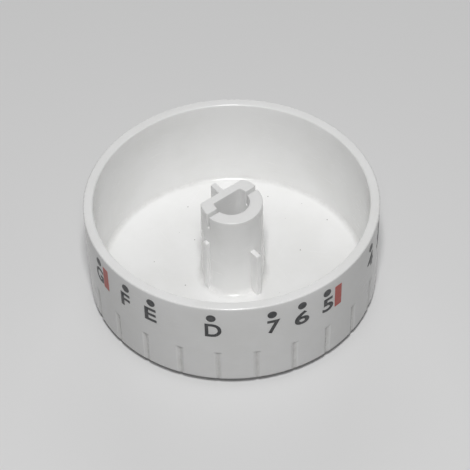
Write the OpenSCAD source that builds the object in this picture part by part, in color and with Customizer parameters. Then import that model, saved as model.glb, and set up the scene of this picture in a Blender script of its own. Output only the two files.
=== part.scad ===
// Timer knob of a washing machine, moulded in one piece.
// It stands on its front face with the open back up, as it lies on a bench.
// The shaft axis is the Z axis, and the X axis runs along the flat of the D-shaped shaft socket.

/* [Cup] */
// Outer diameter at the open rim
rim_d = 72; // [60:0.5:90]
// Height from the front face to the rim
height = 27.4; // [20:0.2:40]
// Thickness of the skirt at the rim
wall = 2.4; // [1.8:0.1:3.6]
// Thickness of the floor behind the front face
floor_t = 1.8; // [1.4:0.1:3.5]
// How much smaller the outer radius is at the front face than at the rim
outer_draft = 0.4; // [0:0.05:1]
// How much smaller the inner radius is at the floor than at the rim
inner_draft = 0.4; // [0:0.05:1]
// Height and width of the bevel round the front face
front_bevel = 2.3; // [0.6:0.1:2.6]
// Radius of the two edges of the rim
rim_edge_r = 0.4; // [0.1:0.05:0.8]
// Radius of the inside corner between the floor and the skirt
floor_fillet_r = 1.2; // [0.4:0.1:3]

/* [Grip grooves] */
// Number of grooves round the skirt
groove_count = 24; // [8:1:36]
// Width of a groove at the surface of the skirt
groove_w = 2; // [1:0.1:3.5]
// Depth of a groove
groove_depth = 0.4; // [0.3:0.05:1.1]
// Height of the grooves above the front face
groove_h = 11.8; // [5:0.2:16]
// Turn of the first groove from the X axis
groove_turn = 0; // [0:0.5:15]

/* [Hub] */
// Outer diameter of the hub at its top
hub_d = 15.2; // [13.5:0.1:20]
// How much larger the hub's radius is at the floor than at its top
hub_draft = 0.2; // [0:0.05:0.6]
// How far the top of the hub lies below the rim
hub_drop = 0.2; // [0.1:0.1:3]
// Radius of the corner between the hub and the floor
hub_fillet_r = 1.5; // [0.5:0.1:3]
// Radius of the outer edges at the top of the hub
hub_edge_r = 0.3; // [0.1:0.05:0.6]

/* [Shaft socket] */
// Diameter of the round side of the socket
bore_d = 8.8; // [7:0.1:11]
// Distance from the shaft axis to the flat of the socket
flat_off = 1.85; // [1:0.05:2.8]
// Thickness of the web behind the flat
web_t = 2.1; // [1:0.1:2.4]
// Thickness of the stem that props the web
stem_t = 1.5; // [0.8:0.1:3]
// Distance from the shaft axis to the outer end of the stem
stem_end = 7.2; // [6:0.1:7.5]
// Height of the socket's closed end above the front face
socket_base = 8; // [3:0.5:11]
// Height of the web above the half ring in front of it
step_h = 0.6; // [0.4:0.1:3]
// Width of the slit between the web and each tip of the half ring
slit_w = 0.7; // [0.4:0.1:1.2]
// Depth of the slits below the half ring
slit_depth = 4; // [1:0.5:6]
// Depth of the open corner on each side of the stem
corner_depth = 7; // [3:0.5:8]

/* [Hub ribs] */
// How far the two long ribs stand out from the hub
long_rib_out = 2.4; // [1.5:0.1:4]
// Thickness of the long ribs
long_rib_t = 1.3; // [0.8:0.1:2.5]
// How far the tops of the long ribs lie below the top of the hub
long_rib_drop = 11.7; // [8:0.1:14]
// How far the two short ribs stand out from the hub
short_rib_out = 0.8; // [0.4:0.1:3]
// Thickness of the short ribs
short_rib_t = 1.4; // [0.8:0.1:2.5]
// How far the tops of the short ribs lie below the top of the hub
short_rib_drop = 9.4; // [8:0.1:14]
// Radius of the outer top corner of every rib
rib_corner_r = 0.4; // [0.1:0.05:0.8]

/* [Hidden] */
$fn = 96;

// Overlap of solids that are joined, and overrun of cuts
lap = 0.5;
over = 1;

rim_r = rim_d / 2;
front_r = rim_r - outer_draft;
inner_rim_r = rim_r - wall;
inner_floor_r = inner_rim_r - inner_draft;
outer_lean = atan(outer_draft / height);

hub_top = height - hub_drop;
hub_r = hub_d / 2;
hub_base_r = hub_r + hub_draft;
ring_top = hub_top - step_h;
web_back = flat_off + web_t;

// Radius of the hub at a height above the front face
function hub_r_at(z) = hub_base_r - hub_draft * (z - floor_t) / (hub_top - floor_t);

module knob() {
    color("whitesmoke") {
        difference() {
            cup();
            grip_grooves();
        }
        difference() {
            union() {
                hub_half(180, ring_top);
                hub_half(0, hub_top);
                long_ribs();
                short_ribs();
            }
            shaft_socket();
            slits();
            open_corners();
        }
    }
}

// Skirt and floor, turned from one section
module cup() {
    rotate_extrude() {
        difference() {
            cup_outline();
            cup_hollow();
        }
        rim_edges();
    }
}

module cup_outline() {
    polygon([
        [0, 0],
        [front_r - front_bevel, 0],
        [front_r, front_bevel],
        [rim_r, height - rim_edge_r],
        [rim_r - rim_edge_r, height],
        [0, height]
    ]);
}

module cup_hollow() {
    polygon([
        [-over, floor_t],
        [inner_floor_r - floor_fillet_r, floor_t],
        [inner_floor_r, floor_t + floor_fillet_r],
        [inner_rim_r, height - rim_edge_r],
        [inner_rim_r + rim_edge_r, height],
        [inner_rim_r + rim_edge_r, height + over],
        [-over, height + over]
    ]);
    translate([inner_floor_r - floor_fillet_r, floor_t + floor_fillet_r]) circle(r = floor_fillet_r);
}

module rim_edges() {
    for (x = [inner_rim_r + rim_edge_r, rim_r - rim_edge_r])
        translate([x, height - rim_edge_r]) circle(r = rim_edge_r);
}

// V-shaped grooves that lean with the skirt and run out on the bevel
module grip_grooves() {
    outside = (groove_depth + over) / groove_depth * groove_w / 2;
    for (i = [0:groove_count - 1])
        rotate(groove_turn + i * 360 / groove_count)
            translate([front_r - groove_depth, 0, 0]) rotate([0, outer_lean, 0])
                translate([0, 0, -over]) linear_extrude(groove_h + over)
                    polygon([[0, 0], [groove_depth + over, -outside], [groove_depth + over, outside]]);
}

// Half of the round post, with a rounded top edge and a filleted foot
module hub_half(turn, top) {
    foot = floor_t - lap;
    edge = top - hub_edge_r;
    rotate(turn) rotate_extrude(angle = 180) {
        polygon([
            [0, foot],
            [hub_r_at(foot), foot],
            [hub_r_at(edge), edge],
            [hub_r_at(edge) - hub_edge_r, top],
            [0, top]
        ]);
        translate([hub_r_at(edge) - hub_edge_r, edge]) circle(r = hub_edge_r);
        hub_foot();
    }
}

module hub_foot() {
    r = hub_fillet_r;
    inner = hub_r_at(floor_t + r);
    difference() {
        translate([inner - lap, floor_t - lap]) square([r + lap, r + lap]);
        translate([inner + r, floor_t + r]) circle(r = r);
    }
}

// One rib on each side of the hub, square to the web
module long_ribs() {
    for (turn = [90, 270])
        rotate(turn) hub_rib(long_rib_out, long_rib_t, hub_top - long_rib_drop);
}

// One rib at each end of the web
module short_ribs() {
    for (turn = [0, 180])
        rotate(turn) hub_rib(short_rib_out, short_rib_t, hub_top - short_rib_drop);
}

module hub_rib(out, thick, top) {
    foot = floor_t - lap;
    inner = (hub_r + bore_d / 2) / 2;
    outer = hub_base_r + out;
    rotate([90, 0, 0]) linear_extrude(thick, center = true) {
        polygon([
            [inner, foot],
            [outer, foot],
            [outer, top - rib_corner_r],
            [outer - rib_corner_r, top],
            [inner, top]
        ]);
        translate([outer - rib_corner_r, top - rib_corner_r]) circle(r = rib_corner_r);
    }
}

// D-shaped socket for the timer shaft
module shaft_socket() {
    difference() {
        translate([0, 0, socket_base]) cylinder(d = bore_d, h = hub_top + over - socket_base);
        translate([-bore_d, flat_off, socket_base - over])
            cube([2 * bore_d, bore_d, hub_top + 3 * over - socket_base]);
    }
}

// Parts the tips of the half ring from the web
module slits() {
    reach = hub_base_r + over;
    translate([-reach, -slit_w, ring_top - slit_depth])
        cube([2 * reach, slit_w, slit_depth + over]);
}

// Cuts the hub away behind the web, apart from the stem
module open_corners() {
    reach = hub_base_r + over;
    translate([0, 0, hub_top - corner_depth])
        linear_extrude(corner_depth + over)
            difference() {
                translate([-reach, web_back]) square([2 * reach, reach]);
                translate([-stem_t / 2, 0]) square([stem_t, stem_end]);
            }
}

knob();
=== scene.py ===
# Washing machine timer knob, lying on its front face with the open back up
import math

import bmesh
import bpy
from mathutils import Matrix, Vector


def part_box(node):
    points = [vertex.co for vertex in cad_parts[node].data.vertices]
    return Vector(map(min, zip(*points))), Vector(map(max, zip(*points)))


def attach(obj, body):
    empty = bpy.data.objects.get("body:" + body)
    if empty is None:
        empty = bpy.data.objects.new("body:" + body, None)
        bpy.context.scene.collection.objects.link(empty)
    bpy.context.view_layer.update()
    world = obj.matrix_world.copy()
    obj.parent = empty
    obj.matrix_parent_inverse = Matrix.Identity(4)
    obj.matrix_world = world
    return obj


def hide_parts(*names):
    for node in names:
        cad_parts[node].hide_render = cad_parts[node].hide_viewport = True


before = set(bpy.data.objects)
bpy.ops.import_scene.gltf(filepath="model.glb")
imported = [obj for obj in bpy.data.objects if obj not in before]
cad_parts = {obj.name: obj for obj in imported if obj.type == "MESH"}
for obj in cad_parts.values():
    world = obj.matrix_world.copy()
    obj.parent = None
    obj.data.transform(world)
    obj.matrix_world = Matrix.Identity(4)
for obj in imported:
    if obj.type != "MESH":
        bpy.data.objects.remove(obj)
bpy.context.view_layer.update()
mm = 0.001


def addObject(name, data):
    thing = bpy.data.objects.new(name, data)
    bpy.context.scene.collection.objects.link(thing)
    return thing


# Camera at the photograph's viewing angle
cameraSet = {
    "imageSide": 470,                  # pixels
    "focalPixels": 2200,
    "sensor": 36,                      # mm
    "azimuth": -38.2,                  # degrees from the -Y side
    "elevation": 45.1,
    "roll": 1.54,
    "distance": 0.5328,                # metres from the centre of the rim
    "rimCentrePixel": (231.45, 199.25),
}


def directionFrom(azimuth, elevation):
    a, e = math.radians(azimuth), math.radians(elevation)
    return Vector((math.sin(a) * math.cos(e), -math.cos(a) * math.cos(e), math.sin(e)))


def makeCamera(s):
    toCamera = directionFrom(s["azimuth"], s["elevation"])
    right = Vector((0, 0, 1)).cross(toCamera).normalized()
    up = toCamera.cross(right)
    half = s["imageSide"] / 2
    dx = (half - s["rimCentrePixel"][0]) / s["focalPixels"]
    dy = (s["rimCentrePixel"][1] - half) / s["focalPixels"]
    roll = math.radians(s["roll"])
    rolledRight = math.cos(roll) * right - math.sin(roll) * up
    rolledUp = math.sin(roll) * right + math.cos(roll) * up
    back = (toCamera - rolledRight * dx - rolledUp * dy).normalized()
    right = rolledUp.cross(back).normalized()
    up = back.cross(right)
    data = bpy.data.cameras.new("photoCamera")
    data.sensor_width = s["sensor"]
    data.lens = s["focalPixels"] * s["sensor"] / s["imageSide"]
    camera = addObject("photoCamera", data)
    place = Matrix((right, up, back)).transposed().to_4x4()
    place.translation = Vector((0, 0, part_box("knob")[1].z)) + toCamera * s["distance"]
    camera.matrix_world = place
    bpy.context.scene.camera = camera


makeCamera(cameraSet)
print("camera set")

# Knob, all sizes in mm
cupSet = {
    "rimRadius": 36,
    "height": 27.4,
    "wall": 2.4,
    "floor": 1.8,
    "outerDraft": 0.4,
    "innerDraft": 0.4,
    "frontBevel": 2.3,
    "bevelEdge": 0.2,                  # rounding of the bevel's two edges
    "rimEdge": 0.4,
    "floorFillet": 1.2,
    "edgeSteps": 7,                    # in each rounded edge of the section
    "floorRings": (12, 22),            # radii of extra rings in the flat faces
    "frontRings": (22, 8),
    "skirtRing": 20,                   # height of an extra ring in the skirt
    "steps": 240,                      # round the shaft axis, a multiple of the number of grooves
    "grooves": 24,
    "grooveHalfWidth": 1.0,
    "grooveDepth": 0.4,
    "grooveTop": 11.8,
    "grooveShoulder": 0.06,            # height of the slope that closes the top of a groove
    "grooveSlack": 0.05,               # lets a groove run out on the bevel
    "grooveEnd": 0.3,                  # degrees, half of its width where it has run out
}
hubSet = {
    "radius": 7.6,
    "draft": 0.2,
    "drop": 0.2,                       # below the rim
    "footFillet": 1.5,
    "footSteps": 6,
    "bore": 4.4,
    "flat": 1.85,
    "web": 2.1,
    "stem": 1.5,
    "stemEnd": 7.2,
    "socketBase": 8,
    "step": 0.6,
    "slit": 0.7,                       # between the web and the tips of the half ring
    "slitDepth": 4,
    "cornerDepth": 7,
    "segments": (96, 72),              # outside, bore
    "edge": 0.2,
    "edgeSteps": 3,
}
ribSet = {
    "long": {"out": 2.4, "thick": 1.3, "drop": 11.7, "turns": (90, 270)},
    "short": {"out": 0.8, "thick": 1.4, "drop": 9.4, "turns": (0, 180)},
    "sink": 0.5,                       # into the floor
    "corner": 0.4,
    "cornerSteps": 4,
    "edge": 0.12,
    "edgeSteps": 2,
}
edgeAngle = 40                         # degrees, sharper edges of the hub and ribs are rounded
smoothAngles = {"skirt": 15, "rest": 32}    # degrees, flatter edges are shaded smooth
near = 0.001                           # mm, closer points count as the same
flatAngle = 0.5                        # degrees, flatter edges are dissolved
levelFrom = 0.9                        # upward part of the normal of a level face
hubTop = cupSet["height"] - hubSet["drop"]
cornerFloor = hubTop - hubSet["cornerDepth"]


def hubRadiusAt(z):
    s = hubSet
    rise = (z - cupSet["floor"]) / (hubTop - cupSet["floor"])
    return s["radius"] + s["draft"] * (1 - rise)


def skirtRadiusAt(z):
    return cupSet["rimRadius"] - cupSet["outerDraft"] * (1 - z / cupSet["height"])


def planRegion(face):
    s = hubSet
    centre = face.calc_center_median()
    if centre.xy.length < s["bore"] and centre.y < s["flat"]:
        return "bore"
    if centre.y < 0:
        return "ring" if centre.y < -s["slit"] else "slit"
    if centre.y < s["flat"] + s["web"] or (abs(centre.x) < s["stem"] / 2 and centre.y < s["stemEnd"]):
        return "web"
    return "corner"


def raiseRegion(bm, names, fromZ, toZ):
    faces = [f for f in bm.faces if abs(f.calc_center_median().z - fromZ) < near
             and abs(f.normal.z) > levelFrom and planRegion(f) in names]
    made = bmesh.ops.extrude_face_region(bm, geom=faces)["geom"]
    bmesh.ops.delete(bm, geom=faces, context="FACES")
    verts = [g for g in made if isinstance(g, bmesh.types.BMVert)]
    bmesh.ops.translate(bm, verts=verts, vec=(0, 0, toZ - fromZ))


def slideToLine(verts, y):
    # the nearest corner on each side goes round to where the line crosses the circle
    for side in (1, -1):
        v = min((v for v in verts if v.co.x * side > 0), key=lambda v: abs(v.co.y - y))
        v.co = (side * math.sqrt(v.co.xy.length ** 2 - y ** 2), y, v.co.z)


def cutPlan(bm, point, normal, fromY):
    faces = [f for f in bm.faces if f.calc_center_median().y > fromY]
    parts = {v for f in faces for v in f.verts} | {e for f in faces for e in f.edges} | set(faces)
    bmesh.ops.bisect_plane(bm, geom=list(parts), dist=near / 2, plane_co=point, plane_no=normal)


def roundEdges(bm, edges, radius, steps):
    bmesh.ops.bevel(bm, geom=edges, offset=radius, offset_type="OFFSET", segments=steps, profile=0.5,
                    affect="EDGES", clamp_overlap=True, material=-1)


def cutHubPlan(bm, s, z):
    # the plan of the hub, cut along every line where its top changes height
    outer = bmesh.ops.create_circle(bm, segments=s["segments"][0], radius=hubRadiusAt(z))["verts"]
    inner = bmesh.ops.create_circle(bm, segments=s["segments"][1], radius=s["bore"])["verts"]
    webBack = s["flat"] + s["web"]
    for y in (-s["slit"], webBack):
        slideToLine(outer, y)
        slideToLine(inner, y)
    slideToLine(inner, s["flat"])
    innerEdges = list({e for v in inner for e in v.link_edges})
    bmesh.ops.bridge_loops(bm, edges=bm.edges[:])
    bmesh.ops.contextual_create(bm, geom=innerEdges)
    bmesh.ops.translate(bm, verts=bm.verts, vec=(0, 0, z))
    for y in (-s["slit"], 0, s["flat"], webBack):
        cutPlan(bm, (0, y, 0), (0, 1, 0), -s["radius"])
    for x in (-s["stem"] / 2, s["stem"] / 2):
        cutPlan(bm, (x, 0, 0), (1, 0, 0), webBack)
    cutPlan(bm, (0, s["stemEnd"], 0), (0, 1, 0), webBack)
    bm.normal_update()


def makeHub(bm, s):
    start = cornerFloor
    ringTop = hubTop - s["step"]
    cutHubPlan(bm, s, start)
    raiseRegion(bm, ("bore",), start, s["socketBase"])
    raiseRegion(bm, ("ring", "web", "slit"), start, ringTop - s["slitDepth"])
    raiseRegion(bm, ("ring", "web"), ringTop - s["slitDepth"], ringTop)
    raiseRegion(bm, ("web",), ringTop, hubTop)
    bmesh.ops.dissolve_limit(bm, angle_limit=math.radians(flatAngle), verts=bm.verts, edges=bm.edges)
    # down the post and out along the rounded foot
    floor, foot = cupSet["floor"], s["footFillet"]
    reach = hubRadiusAt(floor + foot)
    turns = [math.radians(90 * k / s["footSteps"]) for k in range(s["footSteps"] + 1)]
    stations = [(reach + foot * (1 - math.cos(t)), floor + foot * (1 - math.sin(t))) for t in turns]
    edges = [e for e in bm.edges if e.is_boundary]
    for radius, z in stations:
        made = bmesh.ops.extrude_edge_only(bm, edges=edges)["geom"]
        edges = [g for g in made if isinstance(g, bmesh.types.BMEdge)]
        for v in {v for e in edges for v in e.verts}:
            scale = radius / v.co.xy.length
            v.co = (v.co.x * scale, v.co.y * scale, z)
    # the raised parts lean with the draft on their outside, which lies beyond the end of the stem
    outside = (s["stemEnd"] + s["radius"]) / 2
    for v in bm.verts:
        if v.co.z > start and v.co.xy.length > outside:
            v.co.xy *= hubRadiusAt(v.co.z) / hubRadiusAt(start)
    bmesh.ops.recalc_face_normals(bm, faces=bm.faces)
    sharp = [e for e in bm.edges if e.is_manifold and e.calc_face_angle_signed() > math.radians(edgeAngle)]
    roundEdges(bm, sharp, s["edge"], s["edgeSteps"])


def makeCup(bm, s):
    # section from the floor over the rim and down the skirt to the middle of the front face,
    # each corner with its radius, its height and its rounding
    innerRim = s["rimRadius"] - s["wall"]
    innerFloor = innerRim - s["innerDraft"]
    front = s["rimRadius"] - s["outerDraft"]
    bevel = s["frontBevel"]
    depth = s["grooveDepth"]
    skirtHeights = (s["skirtRing"], s["grooveTop"], s["grooveTop"] - s["grooveShoulder"])
    corners = [
        *((radius, s["floor"], 0) for radius in s["floorRings"]),
        (innerFloor, s["floor"], s["floorFillet"]),
        (innerRim, s["height"], s["rimEdge"]),
        (s["rimRadius"], s["height"], s["rimEdge"]),
        *((skirtRadiusAt(z), z, 0) for z in skirtHeights),
        (front, bevel, s["bevelEdge"]),
        (front - depth, bevel - depth, 0),
        (front - bevel, 0, s["bevelEdge"]),
        *((radius, 0, 0) for radius in (*s["frontRings"], 0)),
    ]
    section = [bm.verts.new((radius, 0, z)) for radius, z, edge in corners]
    for pair in zip(section, section[1:]):
        bm.edges.new(pair)
    for v, (radius, z, edge) in zip(section, corners):
        if edge:
            bmesh.ops.bevel(bm, geom=[v], offset=edge, offset_type="OFFSET", segments=s["edgeSteps"],
                            profile=0.5, affect="VERTICES", material=-1)
    line = [v for v in bm.verts if not v.link_faces]
    wire = [e for e in bm.edges if not e.link_faces]
    bmesh.ops.spin(bm, geom=line + wire, cent=(0, 0, 0), axis=(0, 0, 1), angle=2 * math.pi,
                   steps=s["steps"], use_merge=True)
    bmesh.ops.remove_doubles(bm, verts=bm.verts, dist=near / 2)


def pressGrooves(bm, s):
    # V-shaped grooves that lean with the skirt: the middle column goes in to the bottom of the V, and the
    # columns beside it move to its edges
    step = 360 / s["steps"]
    pitch = s["steps"] // s["grooves"]
    for v in bm.verts:
        radius = v.co.xy.length
        bottom = skirtRadiusAt(v.co.z) - s["grooveDepth"]
        if radius < bottom - s["grooveSlack"] or v.co.z > s["grooveTop"] + near:
            continue
        angle = math.degrees(math.atan2(v.co.y, v.co.x))
        column = round(angle / step)
        place = (column + pitch // 2) % pitch - pitch // 2
        if place == 0 and v.co.z < s["grooveTop"] - near:
            v.co.xy *= min(1, bottom / radius)
        elif abs(place) == 1:
            half = s["grooveHalfWidth"] * (radius - bottom) / s["grooveDepth"]
            middle = math.radians((column - place) * step)
            turned = middle + place * max(half / radius, math.radians(s["grooveEnd"]))
            v.co.xy = (radius * math.cos(turned), radius * math.sin(turned))


def makeRib(s, turn, shared):
    bm = bmesh.new()
    inner = (hubSet["radius"] + hubSet["bore"]) / 2
    outer = hubSet["radius"] + hubSet["draft"] + s["out"]
    foot = cupSet["floor"] - shared["sink"]
    top = hubTop - s["drop"]
    bmesh.ops.create_cube(bm, size=1)
    bmesh.ops.scale(bm, verts=bm.verts, vec=(outer - inner, s["thick"], top - foot))
    bmesh.ops.translate(bm, verts=bm.verts, vec=((outer + inner) / 2, 0, (top + foot) / 2))
    corner = [e for e in bm.edges if all(v.co.x > outer - near and v.co.z > top - near for v in e.verts)]
    roundEdges(bm, corner, shared["corner"], shared["cornerSteps"])
    sharp = [e for e in bm.edges if e.calc_face_angle_signed() > math.radians(edgeAngle)
             and any(v.co.x > inner + near and v.co.z > foot + near for v in e.verts)]
    roundEdges(bm, sharp, shared["edge"], shared["edgeSteps"])
    bmesh.ops.rotate(bm, verts=bm.verts, cent=(0, 0, 0), matrix=Matrix.Rotation(math.radians(turn), 3, "Z"))
    return finishMesh(bm, "rib")


def finishMesh(bm, name):
    bmesh.ops.scale(bm, verts=bm.verts, vec=(mm, mm, mm))
    bmesh.ops.recalc_face_normals(bm, faces=bm.faces)
    mesh = bpy.data.meshes.new(name)
    bm.to_mesh(mesh)
    bm.free()
    return mesh


def markSharp(mesh):
    # on the skirt the flanks of the grooves meet at low angles and still show an edge
    midWall = (cupSet["rimRadius"] - cupSet["wall"] / 2) * mm
    bm = bmesh.new()
    bm.from_mesh(mesh)
    bmesh.ops.dissolve_degenerate(bm, dist=2 * near * mm, edges=bm.edges)
    for f in bm.faces:
        f.smooth = True
    for e in bm.edges:
        onSkirt = min(v.co.xy.length for v in e.verts) > midWall
        e.smooth = e.calc_face_angle(0) < math.radians(smoothAngles["skirt" if onSkirt else "rest"])
    bm.to_mesh(mesh)
    bm.free()


def makeKnob():
    bm = bmesh.new()
    makeHub(bm, hubSet)
    makeCup(bm, cupSet)
    pressGrooves(bm, cupSet)
    bmesh.ops.bridge_loops(bm, edges=[e for e in bm.edges if e.is_boundary])
    knob = addObject("knobMoulding", finishMesh(bm, "knobMoulding"))
    ribs = [addObject("rib", makeRib(ribSet[kind], turn, ribSet))
            for kind in ("long", "short") for turn in ribSet[kind]["turns"]]
    for rib in ribs:
        joint = knob.modifiers.new("join", "BOOLEAN")
        joint.operation = "UNION"
        joint.solver = "EXACT"
        joint.object = rib
    bpy.context.view_layer.update()
    joined = bpy.data.meshes.new_from_object(knob.evaluated_get(bpy.context.evaluated_depsgraph_get()))
    knob.modifiers.clear()
    knob.data = joined
    joined.name = "knobMoulding"
    for rib in ribs:
        bpy.data.objects.remove(rib)
    markSharp(joined)
    even = knob.modifiers.new("evenNormals", "WEIGHTED_NORMAL")
    even.keep_sharp = True
    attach(knob, "root")
    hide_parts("knob")
    return knob


knob = makeKnob()
print("knob made")

# Printed dial marks: thin pieces of ink that follow the skirt, placed by angle round the shaft axis, in mm
markSet = {
    "rimTo": {"dot": 3.4, "figure": 7.6, "bar": 6.6},    # from the rim to a mark's middle
    "figures": [                       # character, width, angle of its dot, angle of the figure
        ("G", 3.6, -191, -191), ("F", 3.0, -173.4, -174), ("E", 3.3, -161.2, -161.7),
        ("D", 3.95, -137.1, -136.4), ("7", 3.15, -114.1, -113.5), ("6", 3.9, -102, -102),
        ("5", 3.3, -90.7, -90.2), ("4", 3.6, -61.5, -61.5), ("3", 3.2, -49.5, -49.5),
        ("2", 3.2, -37.5, -37.5), ("1", 1.0, -25.5, -25.5), ("C", 3.8, 30, 30),
        ("B", 3.5, 54, 54), ("A", 4.1, 66, 66),
    ],
    "figureHeight": 4.5,
    "fontSize": 6.3,                   # before a figure is scaled to its height and width
    "fontSteps": 5,
    "bold": 0.15,
    "dotRadius": 1.15,
    "dotSteps": 32,
    "barAngles": (-186, -85, 90),
    "barWidth": 2.2,
    "barHeight": 6.9,
    "barCorner": 0.15,
    "barSteps": 3,
    "sink": 0.02,
    "proud": 0.03,
    "strip": 0.5,                      # widest flat strip across the curve
    "merge": 0.01,
}


def flatFigure(character, width, s):
    curve = bpy.data.curves.new("figure", "FONT")
    curve.body = character
    curve.size = s["fontSize"]
    curve.offset = s["bold"]
    curve.resolution_u = s["fontSteps"]
    text = addObject("figure", curve)
    bpy.context.view_layer.update()
    mesh = bpy.data.meshes.new_from_object(text.evaluated_get(bpy.context.evaluated_depsgraph_get()))
    bpy.data.objects.remove(text)
    bm = bmesh.new()
    bm.from_mesh(mesh)
    bmesh.ops.remove_doubles(bm, verts=bm.verts, dist=near)
    bmesh.ops.dissolve_limit(bm, angle_limit=math.radians(flatAngle), verts=bm.verts, edges=bm.edges)
    low = Vector([min(v.co[k] for v in bm.verts) for k in range(3)])
    high = Vector([max(v.co[k] for v in bm.verts) for k in range(3)])
    size = high - low
    bmesh.ops.translate(bm, verts=bm.verts, vec=-(low + high) / 2)
    bmesh.ops.scale(bm, verts=bm.verts, vec=(width / size.x, s["figureHeight"] / size.y, 1))
    return bm


def flatDot(s):
    bm = bmesh.new()
    bmesh.ops.create_circle(bm, cap_ends=True, segments=s["dotSteps"], radius=s["dotRadius"])
    return bm


def flatBar(s):
    bm = bmesh.new()
    bmesh.ops.create_grid(bm, x_segments=1, y_segments=1, size=0.5)
    bmesh.ops.scale(bm, verts=bm.verts, vec=(s["barWidth"], s["barHeight"], 1))
    bmesh.ops.bevel(bm, geom=bm.verts[:], offset=s["barCorner"], offset_type="OFFSET",
                    segments=s["barSteps"], profile=0.5, affect="VERTICES", material=-1)
    return bm


def wrapOn(target, bm, angle, fromRim, s):
    # slices the flat mark into narrow strips, gives it its thickness and bends it round the skirt
    reach = max(abs(v.co.x) for v in bm.verts)
    count = int(reach / s["strip"])
    for k in range(-count, count + 1):
        bmesh.ops.bisect_plane(bm, geom=bm.verts[:] + bm.edges[:] + bm.faces[:], dist=near / 2,
                               plane_co=(k * s["strip"], 0, 0), plane_no=(1, 0, 0))
    bmesh.ops.remove_doubles(bm, verts=bm.verts, dist=s["merge"])
    bmesh.ops.delete(bm, geom=[v for v in bm.verts if not v.link_faces], context="VERTS")
    made = bmesh.ops.extrude_face_region(bm, geom=bm.faces[:])["geom"]
    top = [g for g in made if isinstance(g, bmesh.types.BMVert)]
    bmesh.ops.translate(bm, verts=top, vec=(0, 0, 1))
    for v in bm.verts:
        z = cupSet["height"] - fromRim + v.co.y
        radius = skirtRadiusAt(z) + (s["proud"] if v.co.z > 0.5 else -s["sink"])
        turn = math.radians(angle) + v.co.x / radius
        v.co = (radius * math.cos(turn), radius * math.sin(turn), z)
    mesh = bpy.data.meshes.new("mark")
    bm.to_mesh(mesh)
    bm.free()
    target.from_mesh(mesh)


def addMarks(bm, name):
    marks = addObject(name, finishMesh(bm, name))
    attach(marks, "root")
    return marks


def makeBlackMarks(s):
    bm = bmesh.new()
    for character, width, dotAngle, angle in s["figures"]:
        wrapOn(bm, flatFigure(character, width, s), angle, s["rimTo"]["figure"], s)
        wrapOn(bm, flatDot(s), dotAngle, s["rimTo"]["dot"], s)
    return addMarks(bm, "blackMarks")


def makeRedMarks(s):
    bm = bmesh.new()
    for angle in s["barAngles"]:
        wrapOn(bm, flatBar(s), angle, s["rimTo"]["bar"], s)
    return addMarks(bm, "redMarks")


blackMarks = makeBlackMarks(markSet)
redMarks = makeRedMarks(markSet)
print("dial marks made")


# Nodes for the materials
def newMaterial(name):
    material = bpy.data.materials.new(name)
    material.use_nodes = True
    tree = material.node_tree
    return material, tree, tree.nodes["Principled BSDF"]


def node(tree, kind, inputs=None, **settings):
    made = tree.nodes.new(kind)
    for key, value in settings.items():
        setattr(made, key, value)
    for key, value in (inputs or {}).items():
        if isinstance(value, bpy.types.NodeSocket):
            tree.links.new(value, made.inputs[key])
        else:
            made.inputs[key].default_value = value
    return made


def maths(tree, operation, a, b=0.0):
    return node(tree, "ShaderNodeMath", {0: a, 1: b}, operation=operation).outputs[0]


def times(tree, a, b):
    return maths(tree, "MULTIPLY", a, b)


def larger(tree, a, b):
    return maths(tree, "MAXIMUM", a, b)


def ranged(tree, value, fromLow, fromHigh, toLow=0, toHigh=1):
    made = node(tree, "ShaderNodeMapRange", {0: value, 1: fromLow, 2: fromHigh, 3: toLow, 4: toHigh},
                interpolation_type="SMOOTHSTEP")
    return made.outputs[0]


def mixed(tree, factor, a, b):
    made = node(tree, "ShaderNodeMix", {0: factor}, data_type="RGBA")
    for socket, value in ((made.inputs[6], a), (made.inputs[7], b)):
        if isinstance(value, bpy.types.NodeSocket):
            tree.links.new(value, socket)
        else:
            socket.default_value = value
    return made.outputs[2]


def noise(tree, place, size, detail, roughness, turn=0):
    # size of the pattern in mm, one number or one for each direction, turned round the shaft axis
    size = size if isinstance(size, tuple) else (size, size, size)
    inputs = {"Vector": place, "Scale": size, "Rotation": (0, 0, math.radians(turn))}
    place = node(tree, "ShaderNodeMapping", inputs, vector_type="TEXTURE").outputs[0]
    inputs = {"Vector": place, "Scale": 1, "Detail": detail, "Roughness": roughness}
    return node(tree, "ShaderNodeTexNoise", inputs).outputs[0]


def pattern(tree, place, row, toLow=0, toHigh=1, turn=0):
    size, detail, roughness, starts, full = row
    return ranged(tree, noise(tree, place, size, detail, roughness, turn), starts, full, toLow, toHigh)


def placeInMm(tree):
    coordinates = node(tree, "ShaderNodeTexCoord").outputs["Object"]
    return node(tree, "ShaderNodeVectorMath", {0: coordinates, "Scale": 1 / mm}, operation="SCALE").outputs[0]


def placeRoundShaft(tree, place):
    # the place seen along the shaft axis, the distance from that axis, the angle round it and the height
    parts = node(tree, "ShaderNodeSeparateXYZ", {0: place}).outputs
    flat = node(tree, "ShaderNodeCombineXYZ", {0: parts[0], 1: parts[1]}).outputs[0]
    radius = node(tree, "ShaderNodeVectorMath", {0: flat}, operation="LENGTH").outputs["Value"]
    angle = maths(tree, "ARCTAN2", parts[1], parts[0])
    return flat, radius, angle, parts[2]


def lyingLevel(tree, low, high):
    # 1 where the surface lies level, 0 where it stands upright
    normal = node(tree, "ShaderNodeTexCoord").outputs["Normal"]
    rise = node(tree, "ShaderNodeSeparateXYZ", {0: normal}).outputs[2]
    return ranged(tree, maths(tree, "ABSOLUTE", rise), low, high)


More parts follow.
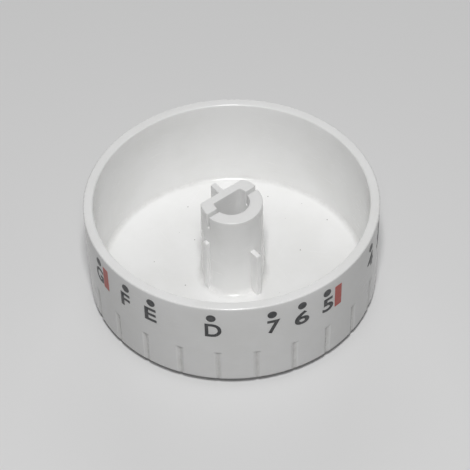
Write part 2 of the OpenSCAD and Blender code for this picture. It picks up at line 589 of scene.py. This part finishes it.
def nearRing(tree, radius, height, ring, reach):
    # 1 on a ring round the shaft axis, 0 from the given distance on
    here = node(tree, "ShaderNodeCombineXYZ", {0: radius, 1: height}).outputs[0]
    inputs = {0: here, 1: (ring[0], ring[1], 0)}
    away = node(tree, "ShaderNodeVectorMath", inputs, operation="DISTANCE").outputs["Value"]
    return ranged(tree, away, 0, reach, 1, 0)


def bumped(tree, shader, height):
    relief = node(tree, "ShaderNodeBump", {"Strength": 1.0, "Distance": mm, "Height": height})
    tree.links.new(relief.outputs[0], shader.inputs["Normal"])


# Moulded white plastic: polished by the mould, with flow marks, scuffs and specks, and painted shade in its
# corners and grooves, lengths in mm
plasticSet = {
    "fresh": (0.885, 0.885, 0.88, 1),
    "aged": (0.85, 0.85, 0.84, 1),
    # colour of the shade painted into the corners, round the hub's foot and in the grooves
    "shadeColor": (0.36, 0.35, 0.32, 1),
    "speck": (0.16, 0.15, 0.14, 1),
    "roughness": 0.17,
    "ior": 1.54,
    "glow": 0.3,                       # light that goes through the wall
    "glowDepth": 2.5,
    # share of the painted shade in the corner of floor and skirt and round the hub's foot
    "cornerShade": 0.22,
    "cornerReach": 1.6,
    "footShadeOut": 0.4,               # from the hub's side to the middle of the painted shade at its foot
    "footReach": 1.7,
    # share of the painted shade in the grooves
    "grooveShade": 0.3,
    "grooveCosine": 0.86,              # at the edge of the painted shade in a groove
    "grooveFade": (-0.3, 0.2),         # above the top of the grooves
    "patchLow": 0.3,                   # share of the painted shade where its patches are faintest
    "skirtFade": (0.3, 0.8),           # into the wall, so that the inside gets none of the grooves' painted shade
    "speckSpacing": 6.0,
    "speckRadius": 0.16,
    "speckSizes": (0.45, 1),           # cells with a lower random number have no speck
    "speckRise": 0.05,                 # above the floor
    "speckStrength": 0.8,
    "rimRub": 1.0,                     # reach of the wear on the rim's edge and on the front face's edge
    "faceRub": 1.2,
    "level": (0.5, 0.8),               # upward part of the normal on upright and on level faces
    "strokeTurns": (24, -47, 80),      # degrees
    "scratchDepth": 0.004,
    "peel": 0.007,                     # height of the waves in the surface
    "waves": (1.8, 2, 0.4),            # size, detail, roughness of the noise
    # size, detail, roughness, and the values of the noise where the pattern starts and where it is full
    "aging": (14, 4, 0.6, 0.35, 0.7),
    "patches": (2, 5, 0.65, 0.3, 0.65),
    "cloud": (3.3, 4, 0.6, 0.3, 0.7),
    "wear": (1.1, 4, 0.7, 0.45, 0.62),
    "scratchedArea": (8, 2, 0.5, 0.45, 0.6),
    "ringScratch": ((5, 5, 0.12), 2, 0.5, 0.66, 0.7),
    "stroke": ((14, 0.12, 14), 2, 0.5, 0.68, 0.72),
    # roughness added by each mask, the second being the painted shade in the corners and grooves
    "duller": {"cloud": 0.05, "paintedShade": 0.5, "rubbed": 0.2, "scratched": 0.14, "speck": 0.3},
}


def paintedShadeOnKnob(tree, s, place, radius, angle, height):
    # painted shade in the corner between floor and skirt, round the hub's foot and in the grooves, patchy
    # everywhere
    cup, hub = cupSet, hubSet
    inWall = cup["rimRadius"] - cup["wall"]
    cornerRing = (inWall - cup["innerDraft"], cup["floor"])
    footRing = (hub["radius"] + hub["draft"] + s["footShadeOut"], cup["floor"])
    floorCorner = nearRing(tree, radius, height, cornerRing, s["cornerReach"])
    hubFoot = nearRing(tree, radius, height, footRing, s["footReach"])
    corners = times(tree, larger(tree, floorCorner, hubFoot), s["cornerShade"])
    wave = maths(tree, "COSINE", times(tree, angle, cup["grooves"]))
    grooves = ranged(tree, wave, s["grooveCosine"], 1)
    fadeLow, fadeHigh = (cup["grooveTop"] + fade for fade in s["grooveFade"])
    grooves = times(tree, grooves, ranged(tree, height, fadeLow, fadeHigh, 1, 0))
    fadeLow, fadeHigh = (inWall + fade for fade in s["skirtFade"])
    grooves = times(tree, grooves, ranged(tree, radius, fadeLow, fadeHigh, 0, s["grooveShade"]))
    return times(tree, larger(tree, corners, grooves), pattern(tree, place, s["patches"], s["patchLow"], 1))


def specksOnFloor(tree, s, flat, height):
    inputs = {"Vector": flat, "Scale": 1 / s["speckSpacing"]}
    cell = node(tree, "ShaderNodeTexVoronoi", inputs, voronoi_dimensions="2D")
    size = node(tree, "ShaderNodeSeparateColor", {0: cell.outputs["Color"]}).outputs[0]
    size = times(tree, ranged(tree, size, *s["speckSizes"]), s["speckRadius"] / s["speckSpacing"])
    specks = maths(tree, "LESS_THAN", cell.outputs["Distance"], size)
    onFloor = maths(tree, "LESS_THAN", height, cupSet["floor"] + s["speckRise"])
    return times(tree, times(tree, specks, onFloor), s["speckStrength"])


def rubbedEdges(tree, s, place, radius, height):
    cup = cupSet
    frontRadius = cup["rimRadius"] - cup["outerDraft"] - cup["frontBevel"]
    rim = nearRing(tree, radius, height, (cup["rimRadius"], cup["height"]), s["rimRub"])
    face = nearRing(tree, radius, height, (frontRadius, 0), s["faceRub"])
    return times(tree, larger(tree, rim, face), pattern(tree, place, s["wear"]))


def scratchesOnKnob(tree, s, place):
    # round the upright faces, and in three directions across the level ones
    level = lyingLevel(tree, *s["level"])
    around = pattern(tree, place, s["ringScratch"])
    around = times(tree, around, maths(tree, "SUBTRACT", 1.0, level))
    strokes = [pattern(tree, place, s["stroke"], turn=turn) for turn in s["strokeTurns"]]
    across = strokes[0]
    for stroke in strokes[1:]:
        across = larger(tree, across, stroke)
    scratches = larger(tree, around, times(tree, across, level))
    return times(tree, scratches, pattern(tree, place, s["scratchedArea"]))


def makePlastic(s):
    material, tree, shader = newMaterial("whitePlastic")
    place = placeInMm(tree)
    flat, radius, angle, height = placeRoundShaft(tree, place)
    # painted shade in the corners, round the hub's foot and in the grooves
    paintedShade = paintedShadeOnKnob(tree, s, place, radius, angle, height)
    specks = specksOnFloor(tree, s, flat, height)
    rubbed = rubbedEdges(tree, s, place, radius, height)
    scratched = scratchesOnKnob(tree, s, place)
    # colour: slow yellowing, then painted shade in the corners and grooves, then specks
    color = mixed(tree, pattern(tree, place, s["aging"]), s["fresh"], s["aged"])
    color = mixed(tree, paintedShade, color, s["shadeColor"])
    color = mixed(tree, specks, color, s["speck"])
    tree.links.new(color, shader.inputs["Base Color"])
    # gloss: cloudy, and duller where it is scratched, where corners and grooves carry painted shade, or
    # rubbed on an edge
    duller = s["duller"]
    rough = maths(tree, "ADD", s["roughness"], pattern(tree, place, s["cloud"], 0, duller["cloud"]))
    for name, mask in (("paintedShade", paintedShade), ("rubbed", rubbed), ("scratched", scratched), ("speck", specks)):
        rough = maths(tree, "ADD", rough, times(tree, mask, duller[name]))
    tree.links.new(rough, shader.inputs["Roughness"])
    # relief: the mould's faint waves and the scratches
    waves = times(tree, noise(tree, place, *s["waves"]), s["peel"])
    depth = times(tree, scratched, -s["scratchDepth"])
    bumped(tree, shader, maths(tree, "ADD", waves, depth))
    shader.inputs["IOR"].default_value = s["ior"]
    shader.inputs["Subsurface Weight"].default_value = s["glow"]
    shader.inputs["Subsurface Radius"].default_value = (1, 1, 1)
    shader.inputs["Subsurface Scale"].default_value = s["glowDepth"] * mm
    return material


# Printing ink: matt, thin in places and worn through in small spots, lengths in mm
inkSet = {
    "black": (0.045, 0.047, 0.05, 1),
    "red": (0.56, 0.11, 0.09, 1),
    "under": (0.6, 0.6, 0.59, 1),
    "thin": 0.1,                       # share of the plastic that shows through
    "worn": 0.55,
    "thinPlaces": (0.9, 4, 0.6, 0.35, 0.75),    # as the plastic's patterns
    "wornSpots": (0.31, 4, 0.7, 0.68, 0.74),
    "grain": (0.11, 2, 0.5),
    "grainSpan": (0.3, 0.7),
    "roughness": (0.34, 0.5),          # across the grain
    "grainHeight": 0.004,
}


def makeInk(name, color, s):
    material, tree, shader = newMaterial(name)
    place = placeInMm(tree)
    thin = pattern(tree, place, s["thinPlaces"], 0, s["thin"])
    worn = pattern(tree, place, s["wornSpots"], 0, s["worn"])
    tree.links.new(mixed(tree, larger(tree, thin, worn), color, s["under"]), shader.inputs["Base Color"])
    grain = noise(tree, place, *s["grain"])
    tree.links.new(ranged(tree, grain, *s["grainSpan"], *s["roughness"]), shader.inputs["Roughness"])
    bumped(tree, shader, times(tree, grain, s["grainHeight"]))
    return material


for piece, material in ((knob, makePlastic(plasticSet)),
                        (blackMarks, makeInk("blackInk", inkSet["black"], inkSet)),
                        (redMarks, makeInk("redInk", inkSet["red"], inkSet))):
    piece.data.materials.clear()
    piece.data.materials.append(material)
print("materials made")

# Floor and lights
stageSet = {
    "floorSize": 3,                    # metres
    "clearance": 0.00003,              # the front face doesn't share the floor's plane
    "floorColor": (0.76, 0.76, 0.76, 1),
    "bounceColor": (0.25, 0.25, 0.25, 1),
    "floorRoughness": 0.9,
    "distance": 1.0,                   # of each lamp, in metres
    "lamps": {                         # azimuth, elevation, size in metres, watts
        "key": (-38.2, 64, 0.14, 5.9),
        "front": (-38.2, 52, 0.2, 1.2),
        "back": (141.8, 24, 0.5, 1.6),
    },
    "worldStrength": 0.1,
}


def makeFloor(s):
    bm = bmesh.new()
    bmesh.ops.create_grid(bm, x_segments=1, y_segments=1, size=s["floorSize"] / 2)
    bmesh.ops.translate(bm, verts=bm.verts, vec=(0, 0, -s["clearance"]))
    mesh = bpy.data.meshes.new("floor")
    bm.to_mesh(mesh)
    bm.free()
    floor = addObject("floor", mesh)
    material, tree, shader = newMaterial("paleFloor")
    path = node(tree, "ShaderNodeLightPath")
    seen = larger(tree, path.outputs["Is Camera Ray"], path.outputs["Is Glossy Ray"])
    seen = larger(tree, seen, path.outputs["Is Transmission Ray"])
    tree.links.new(mixed(tree, seen, s["bounceColor"], s["floorColor"]), shader.inputs["Base Color"])
    shader.inputs["Roughness"].default_value = s["floorRoughness"]
    shader.inputs["Specular IOR Level"].default_value = 0.0
    mesh.materials.append(material)


def makeLights(s):
    for name, (azimuth, elevation, size, power) in s["lamps"].items():
        lamp = bpy.data.lights.new(name, "AREA")
        lamp.energy = power
        lamp.size = size
        toLamp = directionFrom(azimuth, elevation)
        facing = toLamp.to_track_quat("Z", "Y").to_matrix().to_4x4()
        addObject(name, lamp).matrix_world = Matrix.Translation(toLamp * s["distance"]) @ facing
    world = bpy.data.worlds.new("softFill")
    world.use_nodes = True
    background = world.node_tree.nodes["Background"]
    background.inputs["Color"].default_value = (1, 1, 1, 1)
    background.inputs["Strength"].default_value = s["worldStrength"]
    bpy.context.scene.world = world


makeFloor(stageSet)
makeLights(stageSet)
bpy.context.scene.view_settings.view_transform = "Standard"
print("stage and lights made")
